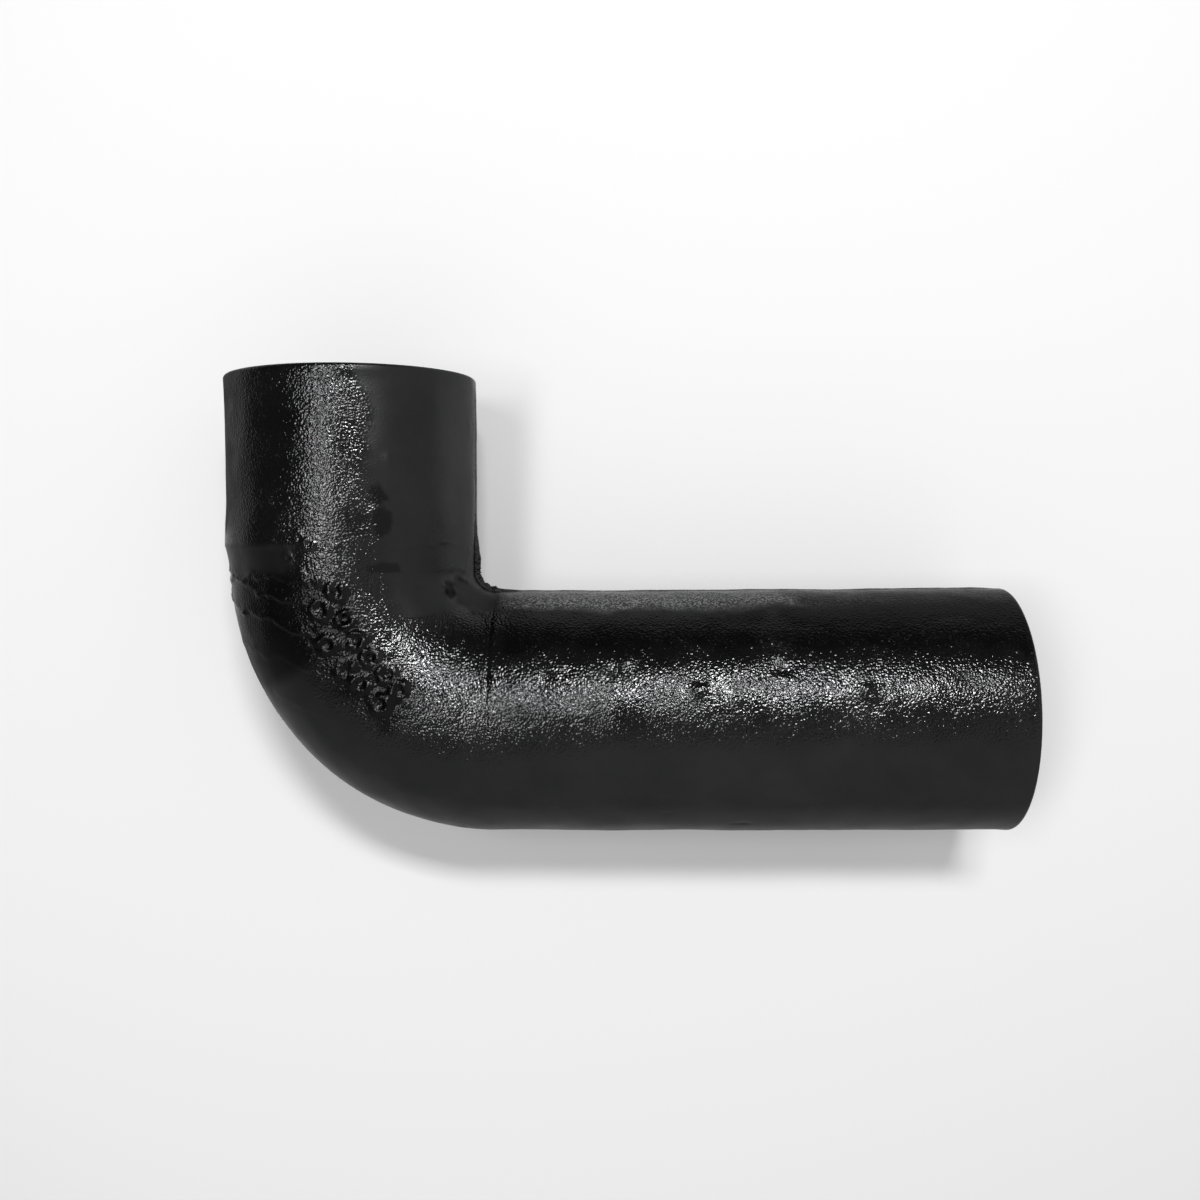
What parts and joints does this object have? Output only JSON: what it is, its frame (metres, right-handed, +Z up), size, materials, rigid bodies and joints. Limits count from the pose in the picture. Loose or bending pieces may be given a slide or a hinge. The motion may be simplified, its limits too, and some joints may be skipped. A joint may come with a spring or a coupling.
{
  "type": "closet bend",
  "caption": "Plain-end cast-iron closet bend: a short inlet leg and a long outlet leg joined by a tight quarter turn, cast in one piece.",
  "frame": {"origin": "centre of the short leg's open end, on the waterway's axis", "axes": "+Y out of the short leg's open end, +X along the long leg towards its open end, +Z up, with the bend lying flat on its side"},
  "size_m": [0.3585, 0.2106, 0.116],
  "materials": {
    "coated_iron": "glossy black bituminous dip over a rough sand-cast skin"
  },
  "bodies": {
    "root": {"closet_bend": "coated_iron"}
  },
  "joints": []
}
